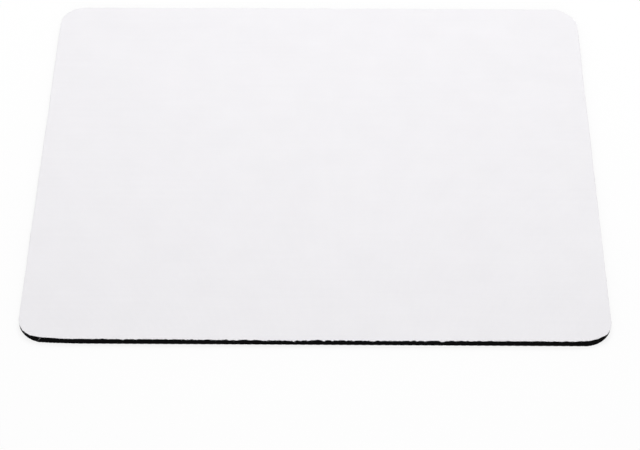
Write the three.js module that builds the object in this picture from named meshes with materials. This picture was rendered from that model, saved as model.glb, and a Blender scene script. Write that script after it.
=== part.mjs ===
// Cloth-topped mouse pad, in millimetres.
// It is a laminate of three sheets that one die cuts to the same outline: a sponge rubber base,
// a hot-melt bonding film and a knitted cloth top.
// The origin is at the centre of the underside, +X runs along the width, +Y away from the user
// and +Z up.

import * as THREE from 'three';

// Plan of the pad
const PAD_WIDTH = 220;
const PAD_DEPTH = 180;
const CORNER_RADIUS = 10;

// Thickness of each sheet, from the desk upwards
const BASE_THICKNESS = 2.4;
const FILM_THICKNESS = 0.1;
const CLOTH_THICKNESS = 0.5;

// Upright part of the cloth's cut edge, above which the die has rolled the cloth over
const CLOTH_CUT_LIP = 0.15;

// Straight steps that stand for a quarter turn
const CORNER_STEPS = 16;
const ROLL_STEPS = 4;

// Places that follow from the sizes above
const QUARTER_TURN = Math.PI / 2;
const filmBottom = BASE_THICKNESS;
const clothBottom = filmBottom + FILM_THICKNESS;
const clothEdgeRoll = CLOTH_THICKNESS - CLOTH_CUT_LIP;

// An arc of a shape is drawn in twice as many steps as its curve segments.
const curveSegments = CORNER_STEPS / 2;

/** The pad's rounded rectangle, anticlockwise seen from above, drawn inwards by an inset. */
function padOutline(inset) {
  const radius = CORNER_RADIUS - inset;
  const centreX = PAD_WIDTH / 2 - CORNER_RADIUS;
  const centreY = PAD_DEPTH / 2 - CORNER_RADIUS;
  const corners = [[centreX, centreY], [-centreX, centreY], [-centreX, -centreY], [centreX, -centreY]];
  const outline = new THREE.Shape();
  corners.forEach(([x, y], quarter) => {
    outline.absarc(x, y, radius, quarter * QUARTER_TURN, (quarter + 1) * QUARTER_TURN);
  });
  return outline;
}

/** A flat sheet of one thickness, cut square all round. */
function squareCutSheet(thickness) {
  return new THREE.ExtrudeGeometry(padOutline(0), { depth: thickness, bevelEnabled: false, curveSegments });
}

/** A closed sheet through rings of the pad's outline, each an inset and a height, lowest first. */
function loftedSheet(rings) {
  const outlines = rings.map(({ inset }) => padOutline(inset).extractPoints(curveSegments).shape);
  const count = outlines[0].length;
  const positions = [];
  rings.forEach(({ height }, level) => {
    outlines[level].forEach((point) => positions.push(point.x, point.y, height));
  });

  const indices = [];
  for (let level = 1; level < rings.length; level += 1) {
    const low = (level - 1) * count;
    const high = level * count;
    for (let here = 0; here < count; here += 1) {
      const next = (here + 1) % count;
      indices.push(low + here, low + next, high + next);
      indices.push(low + here, high + next, high + here);
    }
  }

  const top = (rings.length - 1) * count;
  THREE.ShapeUtils.triangulateShape(outlines[0], []).forEach(([a, b, c]) => {
    indices.push(a, c, b);
    indices.push(top + a, top + b, top + c);
  });

  const geometry = new THREE.BufferGeometry();
  geometry.setAttribute('position', new THREE.Float32BufferAttribute(positions, 3));
  geometry.setIndex(indices);
  geometry.computeVertexNormals();
  return geometry;
}

/** The cloth: an upright cut lip, then a quarter round that rolls over on to the flat top. */
function rolledEdgeSheet() {
  const rings = [{ inset: 0, height: 0 }];
  for (let step = 0; step <= ROLL_STEPS; step += 1) {
    const angle = (step / ROLL_STEPS) * QUARTER_TURN;
    rings.push({
      inset: clothEdgeRoll * (1 - Math.cos(angle)),
      height: CLOTH_CUT_LIP + clothEdgeRoll * Math.sin(angle),
    });
  }
  return loftedSheet(rings);
}

/** One named sheet of the laminate with its underside at the given height. */
function layer(name, geometry, bottom, finish) {
  const mesh = new THREE.Mesh(geometry, new THREE.MeshStandardMaterial(finish));
  mesh.name = name;
  mesh.position.z = bottom;
  return mesh;
}

const mousePad = new THREE.Group();
mousePad.add(
  layer('rubber_base', squareCutSheet(BASE_THICKNESS), 0,
    { color: 0x141414, roughness: 0.9, metalness: 0 }),
  layer('bonding_film', squareCutSheet(FILM_THICKNESS), filmBottom,
    { color: 0xd8d4c6, roughness: 0.5, metalness: 0 }),
  layer('top_cloth', rolledEdgeSheet(), clothBottom,
    { color: 0xf0eff2, roughness: 0.95, metalness: 0 }),
);

export default mousePad;
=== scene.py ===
"""Looks of a cloth-topped mouse pad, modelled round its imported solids.

The pad is a laminate that one die cuts through: a sponge rubber base with a non-slip waffle
underneath, a thin bonding film, and a close-knitted cloth whose cut edge frays a little.
Lengths are in metres and angles in radians, unless a field says otherwise.
"""

import logging
import math
import random
from collections.abc import Callable, Mapping
from dataclasses import dataclass, field, replace
from enum import Enum
from functools import partial

import bmesh
import bpy
from bmesh.types import BMEdge, BMesh, BMVert
from mathutils import Matrix, Vector, noise

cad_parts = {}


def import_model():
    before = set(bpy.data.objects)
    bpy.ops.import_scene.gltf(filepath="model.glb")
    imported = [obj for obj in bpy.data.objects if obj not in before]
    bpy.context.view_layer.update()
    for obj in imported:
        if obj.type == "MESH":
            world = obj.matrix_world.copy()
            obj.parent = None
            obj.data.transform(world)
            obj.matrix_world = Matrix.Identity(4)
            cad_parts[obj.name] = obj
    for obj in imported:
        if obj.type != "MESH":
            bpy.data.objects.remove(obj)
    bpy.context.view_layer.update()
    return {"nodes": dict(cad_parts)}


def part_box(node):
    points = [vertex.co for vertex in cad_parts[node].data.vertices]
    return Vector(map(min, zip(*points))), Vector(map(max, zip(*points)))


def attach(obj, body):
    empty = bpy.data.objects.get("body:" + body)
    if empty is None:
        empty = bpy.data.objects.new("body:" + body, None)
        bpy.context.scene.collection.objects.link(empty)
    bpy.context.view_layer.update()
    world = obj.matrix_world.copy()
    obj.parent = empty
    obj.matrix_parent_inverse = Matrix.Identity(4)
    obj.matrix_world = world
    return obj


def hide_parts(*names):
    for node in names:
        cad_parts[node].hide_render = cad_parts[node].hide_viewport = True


LOG = logging.getLogger("mouse_pad")

MM = 0.001
BODY = "root"
QUARTERS = 4
QUARTER_TURN = math.pi / 2.0

# Distance below which two places count as one
TOUCH = 0.001 * MM

# Distance well past the pad, where a point only shows a direction
FAR = 10.0

Colour = tuple[float, float, float]
Triple = tuple[float, float, float]
Span = tuple[float, float]
WHITE: Colour = (1.0, 1.0, 1.0)


class Node(Enum):
    """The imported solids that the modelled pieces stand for."""

    BASE = "rubber_base"
    FILM = "bonding_film"
    CLOTH = "top_cloth"


class Slot(Enum):
    """The record's material slots."""

    RUBBER = "sponge_rubber"
    FILM = "hot_melt_film"
    CLOTH = "knit_cloth"


@dataclass(frozen=True)
class Signal:
    """An output socket of a shader's graph, whose operators add Math nodes."""

    graph: "Graph"
    socket: bpy.types.NodeSocket

    def __add__(self, other: "Signal | float") -> "Signal":
        """Sum of two values."""
        return self.graph.maths("ADD", self, other)

    __radd__ = __add__

    def __sub__(self, other: "Signal | float") -> "Signal":
        """Difference of two values."""
        return self.graph.maths("SUBTRACT", self, other)

    def __rsub__(self, other: float) -> "Signal":
        """Difference from a number on the left."""
        return self.graph.maths("SUBTRACT", other, self)

    def __mul__(self, other: "Signal | float") -> "Signal":
        """Product of two values."""
        return self.graph.maths("MULTIPLY", self, other)

    __rmul__ = __mul__

    def __truediv__(self, other: "Signal | float") -> "Signal":
        """Quotient of two values."""
        return self.graph.maths("DIVIDE", self, other)

    def __rtruediv__(self, other: float) -> "Signal":
        """Quotient with a number on the left."""
        return self.graph.maths("DIVIDE", other, self)

    def __pow__(self, other: "Signal | float") -> "Signal":
        """Power of a value."""
        return self.graph.maths("POWER", self, other)

    def __rpow__(self, other: float) -> "Signal":
        """Power of a number on the left."""
        return self.graph.maths("POWER", other, self)

    def __abs__(self) -> "Signal":
        """Size of a value without its sign."""
        return self.graph.maths("ABSOLUTE", self)

    def fraction(self) -> "Signal":
        """What is left of a value past its whole number."""
        return self.graph.maths("FRACT", self)

    def wave(self) -> "Signal":
        """A wave of 0 to 1 that repeats with every whole number."""
        return self.graph.maths("SINE", self * math.tau) * 0.5 + 0.5

    def blended(self, other: "Signal", share: float) -> "Signal":
        """This value with a share of another in its place."""
        return self * (1.0 - share) + other * share

    def at_least(self, other: "Signal | float") -> "Signal":
        """The larger of two values."""
        return self.graph.maths("MAXIMUM", self, other)

    def between(self, low: float, high: float) -> "Signal":
        """A smooth step from 0 at the low value to 1 at the high one."""
        sockets = {"Value": self, "From Min": low, "From Max": high}
        return self.graph.node("MapRange", {"interpolation_type": "SMOOTHSTEP"}, sockets)


class Graph:
    """Builds the node tree of a material or a world."""

    def __init__(self, owner: "bpy.types.Material | bpy.types.World") -> None:
        """Starts an empty tree.

        Args:
            owner: The material or world that has the tree.
        """
        owner.use_nodes = True
        self.owner = owner
        self.tree = owner.node_tree
        self.tree.nodes.clear()

    def node(
        self,
        kind: str,
        settings: Mapping[str, object] | None = None,
        sockets: Mapping[str | int, object] | None = None,
        out: str | int = 0,
    ) -> Signal:
        """Adds any shader node.

        Args:
            kind: The node's type without its usual prefix.
            settings: The node's own properties, set before its sockets.
            sockets: A number, vector, colour or signal for each input, by name or position.
            out: The output that the signal reads.

        Returns:
            The signal of that output.
        """
        made = self.tree.nodes.new(f"ShaderNode{kind}")
        for name, value in (settings or {}).items():
            setattr(made, name, value)
        for key, value in (sockets or {}).items():
            socket = made.inputs[key]
            if isinstance(value, Signal):
                self.tree.links.new(value.socket, socket)
            elif socket.type == "RGBA":
                socket.default_value = (*value, 1.0)
            else:
                socket.default_value = value
        return Signal(self, made.outputs[out])

    def maths(self, operation: str, first: Signal | float, second: Signal | float = 0.0) -> Signal:
        """The result of a Math node, some of whose operations ignore the second value."""
        return self.node("Math", {"operation": operation}, {0: first, 1: second})

    def place(self) -> Signal:
        """Object coordinates as a vector."""
        return self.node("TexCoord", out="Object")

    def axes(self) -> tuple[Signal, ...]:
        """Object coordinates as three values."""
        vector = {0: self.place()}
        return tuple(self.node("SeparateXYZ", sockets=vector, out=axis) for axis in "XYZ")

    def noise(self, grain: float, detail: float = 2.0, stretch: Triple = (1.0, 1.0, 1.0)) -> Signal:
        """Adds smooth noise on Object coordinates.

        Args:
            grain: Size of the largest blotches.
            detail: How many finer layers are added.
            stretch: How many times longer the blotches are along each axis.

        Returns:
            The noise, about 0 to 1.
        """
        scale = tuple(1.0 / (grain * longer) for longer in stretch)
        spot = self.node("Mapping", sockets={"Vector": self.place(), "Scale": scale})
        return self.node("TexNoise", sockets={"Vector": spot, "Scale": 1.0, "Detail": detail})

    def mix(self, share: Signal, low: "Colour | Signal", high: "Colour | Signal") -> Signal:
        """A colour on the way from low to high, which are a Mix node's sockets 6 and 7."""
        return self.node("Mix", {"data_type": "RGBA"}, {0: share, 6: low, 7: high}, out=2)

    def bump(self, height: Signal, relief: float) -> Signal:
        """A normal from a height of 0 to 1 and the relief that it stands for."""
        return self.node("Bump", sockets={"Distance": relief, "Height": height})

    def seen_directly(self) -> Signal:
        """Tells rays that show a surface to the camera from those that only carry its light.

        Returns:
            1 for rays that show it, straight or in a reflection, and otherwise 0.
        """
        kinds = ("Camera", "Glossy", "Transmission")
        camera, glossy, through = (self.node("LightPath", out=f"Is {kind} Ray") for kind in kinds)
        return camera.at_least(glossy).at_least(through)

    def end(self, shader: Signal, kind: str = "OutputMaterial") -> "bpy.types.Material | bpy.types.World":
        """Links the last shader to an output node.

        Args:
            shader: The finished surface or background.
            kind: The output node's type without its usual prefix.

        Returns:
            The tree's owner.
        """
        output = self.tree.nodes.new(f"ShaderNode{kind}")
        self.tree.links.new(shader.socket, output.inputs["Surface"])
        return self.owner

    def surface(self, sockets: Mapping[str, object]) -> bpy.types.Material:
        """Ends a material with one surface that has these sockets."""
        return self.end(self.node("BsdfPrincipled", sockets=sockets))


@dataclass(frozen=True)
class KnitFinish:
    """White polyester, close-knitted in fine wales of V-shaped stitches."""

    yarn: Colour = (0.922, 0.911, 0.935)
    # The hollow colour is painted shade between the stitches, and also the dark end of the yarn's uneven
    # tone
    hollow: Colour = (0.812, 0.801, 0.825)

    # The stitch: its size, its relief, and how steep and how deep its two legs are
    wale: float = 0.42 * MM
    course: float = 0.34 * MM
    relief: float = 0.045 * MM
    leg_lean: float = 1.1
    leg_share: float = 0.45

    # How far the stitches drift, counted in stitches, and how uneven the cloth is
    drift_grain: float = 2.5 * MM
    drift: float = 0.9
    mottle_grain: float = 14.0 * MM
    streak_grain: float = 1.1 * MM
    streak_length: float = 40.0

    # What each adds to the tone, from hollow to yarn; the stitch's share is painted shade between stitches
    hollow_shade_tone: float = 0.42
    mottle_tone: float = 0.38
    streak_tone: float = 0.14
    least_tone: float = 0.16

    roughness: float = 0.97
    crown_gloss: float = 0.12
    specular: float = 0.2
    sheen: float = 0.12
    sheen_roughness: float = 0.45

    def material(self) -> bpy.types.Material:
        """Makes the cloth's finish.

        Returns:
            The material.
        """
        graph = Graph(bpy.data.materials.new("knit_cloth"))
        x, y, _ = graph.axes()
        drift = (graph.noise(self.drift_grain) - 0.5) * self.drift
        across = x / self.wale + drift
        along = y / self.course + drift
        from_middle = abs(across.fraction() - 0.5)
        rib = 1.0 - (from_middle * 2.0) ** 2.0
        leg = (along + from_middle * self.leg_lean).wave()
        stitch = rib * (1.0 - self.leg_share + leg * self.leg_share)
        mottle = graph.noise(self.mottle_grain, detail=4.0)
        streak = graph.noise(self.streak_grain, detail=1.0, stretch=(self.streak_length, 1.0, 1.0))
        # The stitches' share paints shade into the hollows between them; mottle and streaks are the yarn's
        # uneven tone
        tone_and_hollow_shade = stitch * self.hollow_shade_tone + mottle * self.mottle_tone
        tone_and_hollow_shade = tone_and_hollow_shade + streak * self.streak_tone + self.least_tone
        return graph.surface({
            "Base Color": graph.mix(tone_and_hollow_shade, self.hollow, self.yarn),
            "Roughness": self.roughness - stitch * self.crown_gloss,
            "Normal": graph.bump(stitch, self.relief),
            "Specular IOR Level": self.specular,
            "Sheen Weight": self.sheen,
            "Sheen Roughness": self.sheen_roughness,
        })


@dataclass(frozen=True)
class CutYarnFinish:
    """Loose polyester filaments at the cut edge, a little brighter than the knit."""

    bright: Colour = (0.94, 0.935, 0.955)
    dull: Colour = (0.78, 0.775, 0.80)
    grain: float = 0.6 * MM
    fleck_range: Span = (0.25, 0.6)
    roughness: float = 0.9
    fleck_gloss: float = 0.2
    specular: float = 0.3
    sheen: float = 0.2

    def material(self) -> bpy.types.Material:
        """Makes the yarn ends' finish.

        Returns:
            The material.
        """
        graph = Graph(bpy.data.materials.new("cut_yarn"))
        fleck = graph.noise(self.grain, detail=3.0)
        return graph.surface({
            "Base Color": graph.mix(fleck.between(*self.fleck_range), self.dull, self.bright),
            "Roughness": self.roughness - fleck * self.fleck_gloss,
            "Specular IOR Level": self.specular,
            "Sheen Weight": self.sheen,
        })


@dataclass(frozen=True)
class SpongeFinish:
    """Matte black sponge rubber: open pores on the cut side, and a paler moulded skin underneath."""

    # The cut side, from painted shade in its pores to the walls between them
    pore_shade: Colour = (0.0006, 0.0006, 0.0007)
    black: Colour = (0.0036, 0.0036, 0.0038)
    pore: float = 0.26 * MM
    wall_range: Span = (0.15, 0.60)
    side_mottle: float = 0.4

    # The skin, from the waffle's grooves to its worn studs, and where it ends up the side
    groove: Colour = (0.0090, 0.0090, 0.0095)
    worn: Colour = (0.0260, 0.0260, 0.0270)
    skin_height: float = 0.19 * MM
    skin_edge: float = 0.02
    skin_mottle: float = 0.3

    mottle_grain: float = 5.0 * MM
    grit_grain: float = 0.52 * MM
    grit_share: float = 0.3
    relief: float = 0.10 * MM

    roughness: float = 0.95
    skin_gloss: float = 0.25
    grit_gloss: float = 0.08
    specular: float = 0.03

    def material(self) -> bpy.types.Material:
        """Makes the rubber's finish.

        Returns:
            The material.
        """
        graph = Graph(bpy.data.materials.new("sponge_rubber"))
        _, _, z = graph.axes()
        pores = {"Vector": graph.place(), "Scale": 1.0 / self.pore}
        wall = graph.node("TexVoronoi", sockets=pores, out="Distance").between(*self.wall_range)
        grit = graph.noise(self.grit_grain, detail=3.0)
        mottle = graph.noise(self.mottle_grain, detail=4.0)
        low = 1.0 - z.between(0.0, self.skin_height)
        skin = low.between(0.0, self.skin_edge)
        # The darkest colour, in the pores, is painted shade; the mottle blended in is the rubber's uneven
        # tone
        cut_side_with_pore_shade = graph.mix(wall.blended(mottle, self.side_mottle), self.pore_shade, self.black)
        underside = graph.mix(low.blended(mottle, self.skin_mottle), self.groove, self.worn)
        return graph.surface({
            "Base Color": graph.mix(skin, cut_side_with_pore_shade, underside),
            "Roughness": self.roughness - low * self.skin_gloss - grit * self.grit_gloss,
            "Normal": graph.bump(wall.blended(grit, self.grit_share), self.relief),
            "Specular IOR Level": self.specular,
        })


@dataclass(frozen=True)
class FilmFinish:
    """Milky hot-melt film, uneven where it was pressed."""

    thin: Colour = (0.50, 0.48, 0.42)
    thick: Colour = (0.72, 0.70, 0.62)
    grain: float = 3.0 * MM
    relief: float = 0.02 * MM
    roughness: float = 0.35
    thick_roughness: float = 0.25

    def material(self) -> bpy.types.Material:
        """Makes the film's finish.

        Returns:
            The material.
        """
        graph = Graph(bpy.data.materials.new("hot_melt_film"))
        flow = graph.noise(self.grain, detail=3.0)
        return graph.surface({
            "Base Color": graph.mix(flow, self.thin, self.thick),
            "Roughness": self.roughness + flow * self.thick_roughness,
            "Normal": graph.bump(flow, self.relief),
        })


@dataclass(frozen=True)
class PaperFinish:
    """White studio paper, shown a little overexposed so that only a light shadow is left.

    Attributes:
        paper: The paper's own colour.
        veil: Share of what the camera sees near the pad that is plain white.
        near: Distance from the middle at which the paper starts to fade to plain white.
        far: Distance at which it is plain white.
    """

    paper: Colour = (0.95, 0.95, 0.95)
    veil: float = 0.84
    near: float = 0.25
    far: float = 0.60

    def material(self) -> bpy.types.Material:
        """Makes the floor's finish.

        Returns:
            The material.
        """
        graph = Graph(bpy.data.materials.new("studio_paper"))
        x, y, _ = graph.axes()
        away = ((x * x + y * y) ** 0.5).between(self.near, self.far)
        whitened = graph.seen_directly() * (self.veil + away * (1.0 - self.veil))
        paper = graph.node("BsdfDiffuse", sockets={"Color": self.paper})
        plain = graph.node("Emission", sockets={"Color": WHITE, "Strength": 1.0})
        return graph.end(graph.node("MixShader", sockets={0: whitened, 1: paper, 2: plain}))


def heading(angle: float) -> Vector:
    """The level direction at an angle from the X axis."""
    return Vector((math.cos(angle), math.sin(angle), 0.0))


def sideways(outward: Vector) -> Vector:
    """The level direction a quarter turn anticlockwise from another."""
    return Vector((-outward.y, outward.x, 0.0))


def rim_of(sheet: BMesh) -> list[BMEdge]:
    """The open edges of a sheet."""
    return [edge for edge in sheet.edges if edge.is_boundary]


def laid_out(cells: tuple[int, int], cell: float, turn: Matrix) -> BMesh:
    """Lays out a flat sheet of square cells.

    Args:
        cells: How many cells it has each way.
        cell: Side of a cell.
        turn: Where the sheet goes from the middle of the desk.

    Returns:
        The sheet.
    """
    sheet = bmesh.new()
    across, along = cells
    stretch = Matrix.Diagonal((across * cell, along * cell, 1.0, 1.0))
    # A grid of size 0.5 is one unit wide before it is stretched.
    bmesh.ops.create_grid(sheet, x_segments=across, y_segments=along, size=0.5, matrix=turn @ stretch)
    return sheet


def refined(sheet: BMesh, step: float) -> list[BMEdge]:
    """Halves the edges of a sheet's rim until none is longer than a step.

    Args:
        sheet: The sheet.
        step: The longest edge that may stay.

    Returns:
        The rim's edges.
    """
    while long_edges := [edge for edge in rim_of(sheet) if edge.calc_length() > step]:
        bmesh.ops.subdivide_edges(sheet, edges=long_edges, cuts=1)
    return rim_of(sheet)


def drawn_out(sheet: BMesh, rim: list[BMEdge], place: Callable[[Vector], Vector]) -> list[BMEdge]:
    """Extrudes a sheet's rim by one ring of faces.

    Args:
        sheet: The sheet.
        rim: The edges of its rim.
        place: Where each point of the rim goes.

    Returns:
        The edges of the new rim.
    """
    made = bmesh.ops.extrude_edge_only(sheet, edges=rim)["geom"]
    for item in made:
        if isinstance(item, BMVert):
            item.co = place(item.co)
    return [item for item in made if isinstance(item, BMEdge) and item.is_boundary]


def finished(model: BMesh, name: str, finish: bpy.types.Material, sharp: float) -> bpy.types.Object:
    """Turns a model into a piece of the scene.

    Args:
        model: The model, which is freed.
        name: The piece's name.
        finish: Its material.
        sharp: Angle past which an edge stays sharp.

    Returns:
        The piece.
    """
    bmesh.ops.recalc_face_normals(model, faces=model.faces)
    for face in model.faces:
        face.smooth = True
    mesh = bpy.data.meshes.new(name)
    model.to_mesh(mesh)
    model.free()
    mesh.set_sharp_from_angle(angle=sharp)
    mesh.materials.append(finish)
    piece = bpy.data.objects.new(name, mesh)
    bpy.context.scene.collection.objects.link(piece)
    return piece


@dataclass(frozen=True)
class Ripple:
    """Smooth unevenness, the same on every run.

    Attributes:
        wavelength: Distance from crest to crest, more or less.
        swing: The most that it departs from zero.
        layer: Tells one ripple from another of the same wavelength.
    """

    wavelength: float
    swing: float
    layer: float

    def at(self, point: Vector) -> float:
        """The ripple's value at a point."""
        return self.swing * noise.noise(point / self.wavelength + Vector((0.0, 0.0, self.layer)))


@dataclass(frozen=True)
class Dent:
    """A stretch by a corner where an edge stops short of its line, or passes it.

    Attributes:
        angle: Direction of its middle out of the corner.
        reach: How far from its middle it fades out.
        depth: The most that the edge stops short, or passes its line if negative.
    """

    angle: float
    reach: float
    depth: float

    def at(self, edge: Vector, die: "Die") -> float:
        """How far the edge stops short at a point of its line."""
        away = (edge - die.mark(self.angle)).xy.length / self.reach
        return self.depth * max(0.0, 1.0 - away**2) ** 2


@dataclass(frozen=True)
class Die:
    """The rounded rectangle that one die cuts through every sheet, a little flat at some corners.

    Attributes:
        half_width: From the middle to the left and right sides.
        half_depth: From the middle to the front and back sides.
        corner: Radius of the corners.
        dents: Where the cut stops short of the rounded rectangle.
        facets: Straight cuts that make a quarter turn.
        leads: Where the straight sides start a new cut, before and after each corner.
    """

    half_width: float
    half_depth: float
    corner: float
    dents: tuple[Dent, ...] = (
        Dent(math.radians(225.0), reach=7.7 * MM, depth=0.42 * MM),
        Dent(math.radians(269.0), reach=9.0 * MM, depth=0.38 * MM),
        Dent(math.radians(315.0), reach=7.7 * MM, depth=0.12 * MM),
        Dent(math.radians(45.0), reach=7.7 * MM, depth=0.70 * MM),
    )
    facets: int = 16
    leads: tuple[float, ...] = (3.0 * MM, 6.0 * MM, 9.0 * MM)

    @classmethod
    def of_solid(cls, node: str, solid: bpy.types.Object) -> "Die":
        """Reads the outline off a packed sheet.

        Args:
            node: The sheet's name.
            solid: The sheet's object.

        Returns:
            The die that cut it.
        """
        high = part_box(node)[1]
        back_edge = [vertex.co.x for vertex in solid.data.vertices if high.y - vertex.co.y < TOUCH]
        return cls(high.x, high.y, high.x - max(back_edge))

    @property
    def area(self) -> float:
        """Area of the outline with round corners."""
        return 4.0 * self.half_width * self.half_depth - (4.0 - math.pi) * self.corner**2

    def drawn_in(self, inset: float) -> "Die":
        """The outline drawn in by an inset all round."""
        width, depth, corner = self.half_width - inset, self.half_depth - inset, self.corner - inset
        return replace(self, half_width=width, half_depth=depth, corner=corner)

    def core(self, point: Vector) -> Vector:
        """The nearest point in the rectangle that joins the centres of the corners."""
        most_x, most_y = self.half_width - self.corner, self.half_depth - self.corner
        return Vector((min(max(point.x, -most_x), most_x), min(max(point.y, -most_y), most_y), 0.0))

    def outward(self, point: Vector) -> Vector:
        """Direction straight out of the outline beside a point."""
        return (Vector((point.x, point.y, 0.0)) - self.core(point)).normalized()

    def place(self, point: Vector, stand_off: float, height: float) -> Vector:
        """Moves a point beside the outline.

        Args:
            point: Any point near the outline.
            stand_off: Distance outside the outline, or inside it if negative.
            height: Height above the desk.

        Returns:
            The point's new place.
        """
        outward = self.outward(point)
        edge = self.core(point) + outward * self.corner
        missing = sum(dent.at(edge, self) for dent in self.dents)
        spot = edge + outward * (stand_off - missing)
        spot.z = height
        return spot

    def centre(self, angle: float) -> Vector:
        """Centre of the corner that lies in a direction from the middle."""
        return self.core(heading(angle) * FAR)

    def mark(self, angle: float) -> Vector:
        """The point of the round outline in a direction out of a corner."""
        return self.centre(angle) + heading(angle) * self.corner

    def spot(self, angle: float, stand_off: float, height: float) -> Vector:
        """The place beside the outline in a direction out of a corner."""
        return self.place(self.centre(angle) + heading(angle), stand_off, height)

    def outline(self) -> list[Vector]:
        """Finds where the straight cuts meet, round the corners and a little before and after.

        Returns:
            The points, anticlockwise.
        """
        points = []
        stops = [(0, -lead) for lead in reversed(self.leads)]
        stops += [(facet, 0.0) for facet in range(self.facets + 1)]
        stops += [(self.facets, lead) for lead in self.leads]
        for quarter in range(QUARTERS):
            centre = self.centre(QUARTER_TURN * (quarter + 0.5))
            for facet, lead in stops:
                outward = heading(QUARTER_TURN * (quarter + facet / self.facets))
                points.append(self.place(centre + outward + sideways(outward) * lead, 0.0, 0.0))
        return points

    def blank(self, cell: float, height: float) -> BMesh:
        """A level sheet of square cells that reaches past the outline all round."""
        across, along = (math.ceil(2.0 * half / cell) + 1 for half in (self.half_width, self.half_depth))
        return laid_out((across, along), cell, Matrix.Translation((0.0, 0.0, height)))

    def cut(self, sheet: BMesh) -> None:
        """Cuts a flat sheet to the outline, one straight cut at a time.

        Args:
            sheet: The sheet, which reaches past the outline all round.
        """
        points = self.outline()
        for touch, following in zip(points, points[1:] + points[:1]):
            along = following - touch
            outward = Vector((along.y, -along.x, 0.0)).normalized()
            # Only faces that reach past the cut are handed over, which is quicker than all of them.
            outside = [vertex for vertex in sheet.verts if (vertex.co - touch).dot(outward) > 0.0]
            faces = list(dict.fromkeys(face for vertex in outside for face in vertex.link_faces))
            edges = list(dict.fromkeys(edge for face in faces for edge in face.edges))
            corners = list(dict.fromkeys(vertex for face in faces for vertex in face.verts))
            bmesh.ops.bisect_plane(
                sheet,
                geom=[*corners, *edges, *faces],
                dist=TOUCH,
                plane_co=touch,
                plane_no=outward,
                clear_outer=True,
            )


@dataclass
class RubberBase:
    """The sponge rubber sheet, with a moulded waffle underneath and a hollow, die-cut side.

    Attributes:
        die: The outline.
        top: Height of its upper face.
        pitch: Distance from one stud of the waffle to the next.
        emboss: Height of the studs.
        slope: Width of a stud's sloping side.
        rim_step: Longest edge along the cut side.
        side_rings: Rings of faces up the cut side.
        foot_rise: Height of the cut side's lowest ring, in heights of a stud.
        flare: How far the cut side stands out at its foot.
        top_inset: How far the cut side leans in at its top.
        hollow: How far the side is hollowed at half height.
        wander: Unevenness of the cut.
    """

    die: Die
    top: float
    pitch: float = 2.0 * MM
    emboss: float = 0.14 * MM
    slope: float = 0.30 * MM
    rim_step: float = 0.7 * MM
    side_rings: int = 6
    foot_rise: float = 1.5
    flare: float = 0.16 * MM
    top_inset: float = 0.07 * MM
    hollow: float = 0.05 * MM
    wander: Ripple = Ripple(wavelength=1.3 * MM, swing=0.05 * MM, layer=11.3)

    def side_place(self, point: Vector, height: float) -> Vector:
        """Finds where the cut side lies.

        Args:
            point: Any point near the outline.
            height: Height above the desk.

        Returns:
            The place beside the point at that height.
        """
        share = height / self.top
        lean = self.flare * (1.0 - share) ** 2 - self.top_inset * share**2
        # The product of a share and what is left of it is at most a quarter, at half height.
        bow = self.hollow * 4.0 * share * (1.0 - share)
        uneven = self.wander.at(Vector((point.x, point.y, height)))
        return self.die.place(point, uneven + lean - bow, height)

    def waffle(self) -> BMesh:
        """Models the waffle, face down, and cuts it to the outline.

        Returns:
            The open sheet.
        """
        # A square that stands on its corner has to be this wide to reach past a rectangle.
        reach = (self.die.half_width + self.die.half_depth) * math.sqrt(2.0)
        count = math.ceil(reach / self.pitch)
        on_corner = Matrix.Rotation(math.radians(45.0), 4, "Z")
        face_down = Matrix.Rotation(math.pi, 4, "X")
        raised = Matrix.Translation((0.0, 0.0, self.emboss))
        sheet = laid_out((count, count), self.pitch, raised @ on_corner @ face_down)
        bmesh.ops.inset_individual(
            sheet,
            faces=sheet.faces[:],
            thickness=self.slope,
            depth=self.emboss,
            use_even_offset=True,
        )
        self.die.drawn_in(-self.flare).cut(sheet)
        return sheet

    def build(self) -> bpy.types.Object:
        """Models the base from its waffle upwards.

        Returns:
            The piece.
        """
        sheet = self.waffle()
        rim = refined(sheet, self.rim_step)
        foot = self.emboss * self.foot_rise
        for ring in range(self.side_rings):
            share = ring / (self.side_rings - 1)
            height = foot + (self.top - foot) * share
            rim = drawn_out(sheet, rim, partial(self.side_place, height=height))
        bmesh.ops.edgeloop_fill(sheet, edges=rim)
        piece = finished(sheet, "sponge_base", SpongeFinish().material(), sharp=math.radians(30.0))
        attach(piece, BODY)
        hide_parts(Node.BASE.value)
        return piece


@dataclass
class BondingFilm:
    """The hot-melt film between the rubber and the cloth, squeezed unevenly at its rim.

    Attributes:
        die: The outline.
        bottom: Height of its lower face.
        top: Height of its upper face.
        inset: How far it stops short of the cut.
        cell: Size of the cells that it is laid out in.
        rim_step: Longest edge along its rim.
        squeeze: Unevenness of its rim.
    """

    die: Die
    bottom: float
    top: float
    inset: float = 0.60 * MM
    cell: float = 10.0 * MM
    rim_step: float = 1.5 * MM
    squeeze: Ripple = Ripple(wavelength=3.0 * MM, swing=0.06 * MM, layer=23.7)

    def rim_place(self, point: Vector, height: float) -> Vector:
        """Where the film's rim lies beside a point at a height."""
        return self.die.place(point, self.squeeze.at(point) - self.inset, height)

    def build(self) -> bpy.types.Object:
        """Models the film from its upper face down.

        Returns:
            The piece.
        """
        sheet = self.die.blank(self.cell, self.top)
        flat = self.die.drawn_in(self.inset * 2.0)
        flat.cut(sheet)
        rim = refined(sheet, self.rim_step)
        for height in (self.top, self.bottom):
            rim = drawn_out(sheet, rim, partial(self.rim_place, height=height))
        bmesh.ops.edgeloop_fill(sheet, edges=rim)
        piece = finished(sheet, "glue_film", FilmFinish().material(), sharp=math.radians(40.0))
        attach(piece, BODY)
        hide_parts(Node.FILM.value)
        return piece


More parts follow.
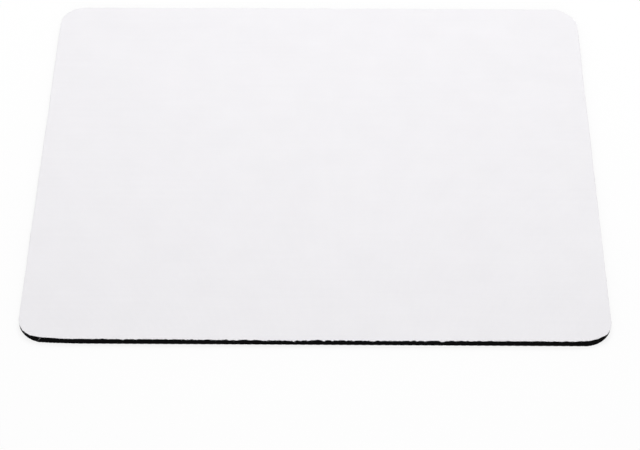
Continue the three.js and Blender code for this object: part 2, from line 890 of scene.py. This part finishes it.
@dataclass(frozen=True)
class Fray:
    """How far a cut edge strays from its line.

    Attributes:
        mean: How far it strays on the whole.
        waves: The slow unevenness of the cut.
        jags: The quick unevenness, where the edge is frayed.
        spikes: Where this ripple is high, the edge strays further, in a tuft or a nick.
        spikes_from: How high it has to be.
        wear: How much more or less frayed some stretches are than others.
    """

    mean: float
    waves: tuple[Ripple, ...]
    jags: tuple[Ripple, ...]
    spikes: Ripple
    spikes_from: float
    wear: Ripple

    def at(self, point: Vector) -> float:
        """Adds up what moves the edge.

        Args:
            point: A point of its line.

        Returns:
            How far the edge strays there.
        """
        wave = sum(ripple.at(point) for ripple in self.waves)
        jag = sum(ripple.at(point) for ripple in self.jags)
        spike = max(0.0, self.spikes.at(point) - self.spikes_from)
        return self.mean + wave + (jag + spike) * max(0.0, 1.0 + self.wear.at(point))


@dataclass
class TopCloth:
    """The knitted sheet, rolled over at its rim by the die and frayed along the cut.

    Attributes:
        die: The outline.
        bottom: Height of its lower face.
        top: Height of its upper face.
        cell: Size of the cells that it is laid out in.
        rim_step: Longest edge along its rim.
        roll_width: Width of the rolled rim, seen from above.
        roll_drop: Height of the rolled rim.
        roll_steps: Rings of faces round the roll.
        least_roll: Least width of the rolled rim where it stops short.
        shoulder: Width of the flat ring inside the roll.
        least_cut: Least height of the cut edge below the roll.
        edge_wall: Thickness of the cloth behind the cut edge.
        turn_up: Width of the ring underneath that turns up or down to the cut edge.
        hang: How far the cut edge hangs below the cloth's lower face.
        draw_in: How far the rim stops short of the outline.
        slips: Where it stops shorter by a corner, or stands out.
        hem: Points along the free parts of the cut edge, known once the cloth is built.
    """

    die: Die
    bottom: float
    top: float
    cell: float = 2.0 * MM
    rim_step: float = 0.3 * MM
    roll_width: float = 0.55 * MM
    roll_drop: float = 0.15 * MM
    roll_steps: int = 6
    least_roll: float = 0.08 * MM
    shoulder: float = 0.4 * MM
    least_cut: float = 0.03 * MM
    edge_wall: float = 0.05 * MM
    turn_up: float = 0.60 * MM
    hang: Fray = Fray(
        mean=-0.23 * MM,
        waves=(Ripple(26.0 * MM, 0.40 * MM, 46.1), Ripple(7.0 * MM, 0.20 * MM, 31.2)),
        jags=(Ripple(1.6 * MM, 0.36 * MM, 37.4), Ripple(0.8 * MM, 0.28 * MM, 39.9)),
        spikes=Ripple(1.7 * MM, 1.6 * MM, 41.6),
        spikes_from=0.60 * MM,
        wear=Ripple(33.0 * MM, 1.4, 47.3),
    )
    draw_in: Fray = Fray(
        mean=-0.07 * MM,
        waves=(Ripple(25.0 * MM, 0.17 * MM, 96.6), Ripple(3.6 * MM, 0.10 * MM, 53.8)),
        jags=(Ripple(1.2 * MM, 0.08 * MM, 55.1),),
        spikes=Ripple(1.9 * MM, 1.1 * MM, 57.7),
        spikes_from=0.48 * MM,
        wear=Ripple(40.0 * MM, 1.4, 61.9),
    )
    slips: tuple[Dent, ...] = (
        Dent(math.radians(222.0), reach=6.2 * MM, depth=-0.45 * MM),
        Dent(math.radians(268.0), reach=7.0 * MM, depth=0.22 * MM),
        Dent(math.radians(283.0), reach=7.0 * MM, depth=0.46 * MM),
        Dent(math.radians(327.0), reach=5.4 * MM, depth=-0.43 * MM),
    )
    hem: list[Vector] = field(default_factory=list)

    def rim(self, point: Vector) -> float:
        """Finds how far outside the outline the rim lies.

        Args:
            point: Any point near the outline.

        Returns:
            The distance beside the point, negative where the rim stops short.
        """
        edge = self.die.place(point, 0.0, self.top)
        short = self.draw_in.at(edge) + sum(slip.at(edge, self.die) for slip in self.slips)
        return max(-short, self.least_roll - self.roll_width)

    def passes(self, point: Vector) -> bool:
        """Whether the rim passes the rubber beside a point, so that it can hang over it."""
        return self.rim(point) > self.edge_wall

    def behind(self, point: Vector) -> float:
        """How far outside the outline the back of the cut edge lies, clear of the rubber."""
        return min(self.rim(point) - self.edge_wall, 0.0)

    def hem_height(self, point: Vector) -> float:
        """Finds how high the cut edge lies, which hangs only where the rim passes the rubber.

        Args:
            point: Any point near the outline.

        Returns:
            The cut edge's height beside the point.
        """
        sag = self.hang.at(self.die.place(point, 0.0, self.bottom))
        if not self.passes(point):
            sag = min(sag, 0.0)
        return min(self.bottom - sag, self.top - self.roll_drop - self.least_cut)

    def roll_place(self, point: Vector, turned: float) -> Vector:
        """Where the rolled rim lies beside a point, turned over by an angle."""
        stand_off = (self.roll_width + self.rim(point)) * math.sin(turned) - self.roll_width
        return self.die.place(point, stand_off, self.top - self.roll_drop * (1.0 - math.cos(turned)))

    def hem_place(self, point: Vector) -> Vector:
        """Where the cut edge lies beside a point."""
        return self.die.place(point, self.rim(point), self.hem_height(point))

    def back_place(self, point: Vector) -> Vector:
        """Where the back of the cut edge lies beside a point."""
        return self.die.place(point, self.behind(point), self.hem_height(point))

    def knee_place(self, point: Vector) -> Vector:
        """Where the cloth bends from its underside to the back of the cut edge."""
        height = max(self.hem_height(point), self.bottom) + self.least_cut / 2.0
        return self.die.place(point, self.behind(point), height)

    def build(self) -> bpy.types.Object:
        """Models the cloth from its flat top outwards and under.

        Returns:
            The piece.
        """
        flat = self.die.drawn_in(self.roll_width + self.shoulder)
        sheet = flat.blank(self.cell, self.top)
        flat.cut(sheet)
        rim = refined(sheet, self.rim_step)
        for ring in range(self.roll_steps + 1):
            turned = QUARTER_TURN * ring / self.roll_steps
            rim = drawn_out(sheet, rim, partial(self.roll_place, turned=turned))
        rim = drawn_out(sheet, rim, self.hem_place)
        cut_edge = [edge.verts[0].co.copy() for edge in rim]
        free = [point for point in cut_edge if self.passes(point)]
        self.hem = sorted(free, key=lambda point: math.atan2(point.y, point.x))
        under_place = partial(self.die.place, stand_off=-self.turn_up, height=self.bottom)
        for place in (self.back_place, self.knee_place, under_place):
            rim = drawn_out(sheet, rim, place)
        bmesh.ops.edgeloop_fill(sheet, edges=rim)
        piece = finished(sheet, "knit_top", KnitFinish().material(), sharp=math.radians(50.0))
        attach(piece, BODY)
        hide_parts(Node.CLOTH.value)
        return piece


@dataclass(frozen=True)
class Yarn:
    """One cut strand: a thin tapering tube, bent from root to tip.

    Attributes:
        root: Where it starts.
        way: Where it heads at first, as a unit vector.
        bend: What its heading gains on the way, in lengths.
        length: Its length before it bends.
        radius: Its radius at the root.
        taper: Radius of the tip beside that of the root.
        sides: Sides of its section.
        joints: Rings between root and tip.
    """

    root: Vector
    way: Vector
    bend: Vector
    length: float
    radius: float
    taper: float = 0.5
    sides: int = 5
    joints: int = 2

    def add_to(self, fringe: BMesh) -> None:
        """Models the strand by itself and adds it to a fringe.

        Args:
            fringe: The model that takes it up.
        """
        strand = bmesh.new()
        bmesh.ops.create_cone(
            strand,
            cap_ends=True,
            segments=self.sides,
            radius1=self.radius,
            radius2=self.radius * self.taper,
            depth=self.length,
            matrix=Matrix.Translation((0.0, 0.0, self.length / 2.0)),
        )
        lengthwise = [edge for edge in strand.edges if edge.calc_length() > self.length / 2.0]
        bmesh.ops.subdivide_edges(strand, edges=lengthwise, cuts=self.joints)
        turn = self.way.to_track_quat("Z", "Y")
        for vertex in strand.verts:
            share = vertex.co.z / self.length
            vertex.co = self.root + turn @ vertex.co + self.bend * (share**2 * self.length)
        mesh = bpy.data.meshes.new("strand")
        strand.to_mesh(mesh)
        strand.free()
        fringe.from_mesh(mesh)
        bpy.data.meshes.remove(mesh)


@dataclass(frozen=True)
class Tufts:
    """Bunches of strands that hang down against the side."""

    count: int = 150
    strands: tuple[int, int] = (2, 5)
    lengths: Span = (0.10 * MM, 0.26 * MM)
    radii: Span = (0.030 * MM, 0.055 * MM)

    # How far a strand starts from the middle of its bunch, and how many radii are in the cloth
    spread: float = 0.22 * MM
    sunk: float = 2.0

    # How far it heads outwards and sideways, beside 1 downwards, and how far it then bends
    lean: Span = (0.0, 0.35)
    splay: float = 0.5
    lean_bend: Span = (0.0, 0.2)
    splay_bend: float = 0.6

    def bunch(self, draw: random.Random, root: Vector, outward: Vector) -> list[Yarn]:
        """Draws the strands of one bunch.

        Args:
            draw: The random draws.
            root: Where the bunch hangs from.
            outward: Direction straight out of the side.

        Returns:
            The strands.
        """
        along = sideways(outward)
        down = Vector((0.0, 0.0, -1.0))
        strands = []
        for _ in range(draw.randint(*self.strands)):
            radius = draw.uniform(*self.radii)
            shift = draw.uniform(-self.spread, self.spread)
            start = root + along * shift - outward * radius - down * radius * self.sunk
            way = down + outward * draw.uniform(*self.lean) + along * draw.uniform(-self.splay, self.splay)
            bend = along * draw.uniform(-self.splay_bend, self.splay_bend)
            bend += outward * draw.uniform(*self.lean_bend)
            length = draw.uniform(*self.lengths)
            strands.append(Yarn(start, way.normalized(), bend, length, radius))
        return strands


@dataclass(frozen=True)
class Fluff:
    """Single loose filaments that stand out of the cut edge."""

    count: int = 900
    lengths: Span = (0.15 * MM, 0.50 * MM)
    radii: Span = (0.008 * MM, 0.014 * MM)
    sides: int = 3

    # How many radii of a filament's root are in the cloth
    sunk: float = 2.0

    # How far it heads outwards, sideways and up, and how far it then bends
    lean: Span = (0.2, 1.0)
    splay: float = 1.0
    rise: Span = (-0.7, 0.5)
    splay_bend: float = 0.8
    rise_bend: Span = (-0.5, 0.3)

    def filament(self, draw: random.Random, root: Vector, outward: Vector) -> Yarn:
        """Draws one filament.

        Args:
            draw: The random draws.
            root: Where it starts.
            outward: Direction straight out of the side.

        Returns:
            The filament.
        """
        along = sideways(outward)
        way = outward * draw.uniform(*self.lean) + along * draw.uniform(-self.splay, self.splay)
        way.z = draw.uniform(*self.rise)
        bend = along * draw.uniform(-self.splay_bend, self.splay_bend)
        bend.z = draw.uniform(*self.rise_bend)
        radius = draw.uniform(*self.radii)
        start = root - outward * radius * self.sunk
        length = draw.uniform(*self.lengths)
        return Yarn(start, way.normalized(), bend, length, radius, sides=self.sides)


@dataclass(frozen=True)
class DrawnThread:
    """The thread that the die drew down the side at the front left corner."""

    # Where it starts and ends: directions out of the corner, distances past the outline, heights
    angles: Span = (math.radians(264.0), math.radians(257.0))
    stand_offs: Span = (0.06 * MM, 0.15 * MM)
    heights: Span = (2.60 * MM, 0.70 * MM)

    radius: float = 0.032 * MM

    def yarn(self, die: Die) -> Yarn:
        """Lays the thread along the side.

        Args:
            die: The outline.

        Returns:
            The thread.
        """
        marks = zip(self.angles, self.stand_offs, self.heights)
        root, tip = (die.spot(*mark) for mark in marks)
        run = tip - root
        return Yarn(root, run.normalized(), Vector(), run.length, self.radius)


@dataclass
class YarnFringe:
    """Yarn ends along the cloth's cut edge, whose points are their roots, in order round the pad."""

    die: Die
    roots: list[Vector]
    thread: DrawnThread = DrawnThread()
    tufts: Tufts = Tufts()
    fluff: Fluff = Fluff()
    seed: int = 20

    def build(self) -> bpy.types.Object:
        """Models all the yarn ends as one piece.

        Returns:
            The piece.
        """
        draw = random.Random(self.seed)
        strands = [self.thread.yarn(self.die)]
        for root in draw.sample(self.roots, self.tufts.count):
            strands.extend(self.tufts.bunch(draw, root, self.die.outward(root)))
        for root in draw.sample(self.roots, self.fluff.count):
            strands.append(self.fluff.filament(draw, root, self.die.outward(root)))
        fringe = bmesh.new()
        for strand in strands:
            strand.add_to(fringe)
        piece = finished(fringe, "cut_yarn_ends", CutYarnFinish().material(), sharp=math.radians(80.0))
        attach(piece, BODY)
        return piece


@dataclass(frozen=True)
class Softbox:
    """A square studio lamp that points at the middle of the pad."""

    name: str
    place: Triple
    size: float
    watts: float

    def hang(self) -> None:
        """Puts the lamp in the scene."""
        lamp = bpy.data.lights.new(self.name, "AREA")
        lamp.size = self.size
        lamp.energy = self.watts
        box = bpy.data.objects.new(self.name, lamp)
        box.location = self.place
        toward = Vector() - Vector(self.place)
        box.rotation_euler = toward.to_track_quat("-Z", "Y").to_euler()
        bpy.context.scene.collection.objects.link(box)


@dataclass(frozen=True)
class Viewpoint:
    """Where the pad is seen from: a long lens in front of it and above.

    Attributes:
        place: The camera's place.
        dip: How far it looks below the horizon, in degrees.
        heading: How far it is turned to the left, in degrees.
        tilt: How far it is rolled anticlockwise, in degrees.
        lens: Focal length in millimetres.
        sensor: Sensor width in millimetres.
    """

    place: Triple = (8.0 * MM, -526.4 * MM, 564.2 * MM)
    dip: float = 48.725
    heading: float = 0.743
    tilt: float = -0.287
    lens: float = 108.44
    sensor: float = 36.0

    def set_up(self) -> None:
        """Makes the camera and gives it to the scene."""
        optics = bpy.data.cameras.new("camera")
        optics.lens = self.lens
        optics.sensor_width = self.sensor
        camera = bpy.data.objects.new("camera", optics)
        turned = Matrix.Rotation(math.radians(self.heading), 4, "Z")
        # A camera that isn't turned looks straight down, 90 degrees below the horizon.
        raised = Matrix.Rotation(math.radians(90.0 - self.dip), 4, "X")
        rolled = Matrix.Rotation(math.radians(self.tilt), 4, "Z")
        camera.matrix_world = Matrix.Translation(self.place) @ turned @ raised @ rolled
        bpy.context.scene.collection.objects.link(camera)
        bpy.context.scene.camera = camera


@dataclass(frozen=True)
class Studio:
    """The pale floor, the soft light all round, the lamps and the camera."""

    floor_cells: int = 8
    floor_cell: float = 1.0

    # How far the floor lies below the pad, so that no two faces share a plane
    floor_drop: float = 0.02 * MM

    room_light: float = 0.40
    lamps: tuple[Softbox, ...] = (
        Softbox("back_softbox", place=(0.04, 0.33, 0.82), size=0.5, watts=5.05),
        Softbox("front_softbox", place=(0.0, -3.0, 0.8), size=2.0, watts=33.0),
    )
    viewpoint: Viewpoint = Viewpoint()

    def lay_floor(self) -> None:
        """Lays the floor under the pad."""
        below = Matrix.Translation((0.0, 0.0, -self.floor_drop))
        sheet = laid_out((self.floor_cells, self.floor_cells), self.floor_cell, below)
        floor = finished(sheet, "studio_floor", PaperFinish().material(), sharp=math.pi)

    def light_room(self) -> None:
        """Lights the room evenly and shows it white."""
        world = bpy.data.worlds.new("studio")
        graph = Graph(world)
        soft = graph.node("Background", sockets={"Color": WHITE, "Strength": self.room_light})
        white = graph.node("Background", sockets={"Color": WHITE, "Strength": 1.0})
        mixed = graph.node("MixShader", sockets={0: graph.seen_directly(), 1: soft, 2: white})
        bpy.context.scene.world = graph.end(mixed, "OutputWorld")

    def set_up(self) -> None:
        """Sets up the floor, the light and the camera."""
        bpy.context.scene.view_settings.view_transform = "Standard"
        self.lay_floor()
        self.light_room()
        for lamp in self.lamps:
            lamp.hang()
        self.viewpoint.set_up()


def main() -> None:
    """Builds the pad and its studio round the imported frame."""
    logging.basicConfig(level=logging.INFO, format="%(message)s")
    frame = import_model()
    Studio().set_up()

    die = Die.of_solid(Node.BASE.value, frame["nodes"][Node.BASE.value])
    heights = {node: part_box(node.value) for node in Node}
    film_low, film_high = heights[Node.FILM]
    cloth_low, cloth_high = heights[Node.CLOTH]

    base = RubberBase(die, top=heights[Node.BASE][1].z).build()
    film = BondingFilm(die, bottom=film_low.z, top=film_high.z).build()
    top_cloth = TopCloth(die, bottom=cloth_low.z, top=cloth_high.z)
    cloth = top_cloth.build()
    fringe = YarnFringe(die, top_cloth.hem).build()
    for piece in (base, film, cloth, fringe):
        LOG.info("%s: %d faces", piece.name, len(piece.data.polygons))

    die.area


if __name__ == "__main__":
    main()
